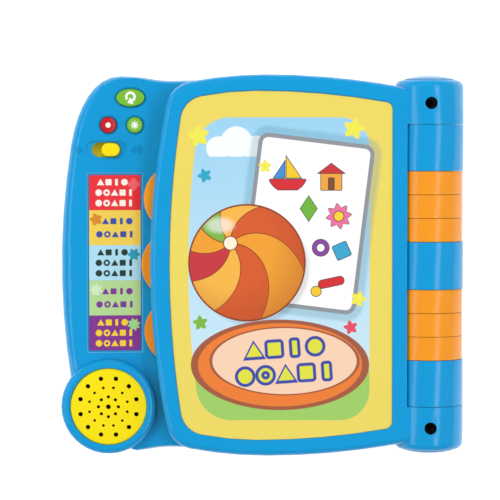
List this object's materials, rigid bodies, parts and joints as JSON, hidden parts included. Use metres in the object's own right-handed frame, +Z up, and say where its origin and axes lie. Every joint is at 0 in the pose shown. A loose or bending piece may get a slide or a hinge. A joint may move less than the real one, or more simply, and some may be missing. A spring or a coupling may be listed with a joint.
{
  "type": "sound book",
  "caption": "Toy sound book: blue case with key panel and round loudspeaker, thick picture cover and stiff tabbed leaves turning on one rod in a round spine.",
  "frame": {"origin": "Centre of the bounding box at its base, on the surface the closed book lies on.", "axes": "+X runs across the book from the control panel to the spine, +Y along the spine towards the end with the buttons, +Z up out of the cover."},
  "size_m": [0.27, 0.2544, 0.046],
  "materials": {
    "case_blue": "glossy moulded plastic",
    "leaf_orange": "semi-gloss moulded plastic",
    "switch_yellow": "semi-gloss moulded plastic",
    "key_green": "semi-gloss moulded plastic",
    "key_red": "semi-gloss moulded plastic",
    "picture_card": "printed card with a satin film",
    "page_card": "printed card with a satin film",
    "label_card": "printed label with a satin film",
    "board_green": "glass-fibre circuit board",
    "film_amber": "printed flexible film",
    "mat_grey": "soft silicone rubber",
    "switch_black": "moulded plastic",
    "cone_black": "pressed paper cone",
    "steel": "plated steel",
    "cell_jacket": "printed steel jacket"
  },
  "bodies": {
    "base": {"lower_shell": "case_blue", "upper_shell": "case_blue", "base_page_sheet": "page_card", "mode_label": "label_card", "speaker_grille": "switch_yellow", "speaker_basket": "steel", "speaker_cone": "cone_black", "speaker_magnet": "steel", "main_board": "board_green", "keypad_mat": "mat_grey", "volume_switch": "switch_black", "touch_film": "film_amber", "battery_door": "case_blue", "battery_door_screw": "steel", "battery_bridge": "steel", "battery_contact_1": "steel", "battery_contact_2": "steel", "battery_1": "cell_jacket", "battery_2": "cell_jacket", "battery_spring_1": "steel", "battery_spring_2": "steel", "case_screw_1": "steel", "case_screw_2": "steel", "case_screw_3": "steel", "case_screw_4": "steel", "case_screw_5": "steel", "case_screw_6": "steel"},
    "repeat_button": {"repeat_button": "key_green"},
    "stop_button": {"stop_button": "key_red"},
    "start_button": {"start_button": "key_green"},
    "volume_slide": {"volume_slide": "switch_yellow"},
    "cover": {"cover_front_shell": "case_blue", "cover_back_shell": "case_blue", "cover_picture": "picture_card", "cover_inner_sheet": "page_card", "cover_touch_film": "film_amber", "hinge_rod": "steel", "hinge_screw_far": "steel", "end_cap_far": "case_blue", "hinge_screw_near": "steel", "end_cap_near": "case_blue", "cover_screw_1": "steel", "cover_screw_2": "steel", "cover_screw_3": "steel", "cover_screw_4": "steel"},
    "leaf_1": {"page_leaf_1": "leaf_orange", "page_leaf_1_front_sheet": "page_card", "page_leaf_1_back_sheet": "page_card"},
    "leaf_2": {"page_leaf_2": "leaf_orange", "page_leaf_2_front_sheet": "page_card", "page_leaf_2_back_sheet": "page_card"},
    "leaf_3": {"page_leaf_3": "leaf_orange", "page_leaf_3_front_sheet": "page_card", "page_leaf_3_back_sheet": "page_card"}
  },
  "joints": [
    {"name": "cover_open", "type": "hinge", "parent": "base", "child": "cover", "pos_m": [0.112, 0, 0.023], "axis": [0, 1, 0], "range_deg": [0, 180]},
    {"name": "leaf_1_turn", "type": "hinge", "parent": "base", "child": "leaf_1", "pos_m": [0.112, 0, 0.023], "axis": [0, 1, 0], "range_deg": [0, 180]},
    {"name": "leaf_2_turn", "type": "hinge", "parent": "base", "child": "leaf_2", "pos_m": [0.112, 0, 0.023], "axis": [0, 1, 0], "range_deg": [0, 180]},
    {"name": "leaf_3_turn", "type": "hinge", "parent": "base", "child": "leaf_3", "pos_m": [0.112, 0, 0.023], "axis": [0, 1, 0], "range_deg": [0, 180]},
    {"name": "repeat_press", "type": "slide", "parent": "base", "child": "repeat_button", "axis": [0, 0, -1], "range_m": [0, 0.0015], "stiffness_N_per_m": 800},
    {"name": "stop_press", "type": "slide", "parent": "base", "child": "stop_button", "axis": [0, 0, -1], "range_m": [0, 0.0015], "stiffness_N_per_m": 800},
    {"name": "start_press", "type": "slide", "parent": "base", "child": "start_button", "axis": [0, 0, -1], "range_m": [0, 0.0015], "stiffness_N_per_m": 800},
    {"name": "volume_move", "type": "slide", "parent": "base", "child": "volume_slide", "axis": [1, 0, 0], "range_m": [-0.006, 0]}
  ],
  "couplings": [
    {"joint": "leaf_1_turn", "follows": "cover_open", "ratio": 0.98},
    {"joint": "leaf_2_turn", "follows": "cover_open", "ratio": 0.96},
    {"joint": "leaf_3_turn", "follows": "cover_open", "ratio": 0.94}
  ]
}
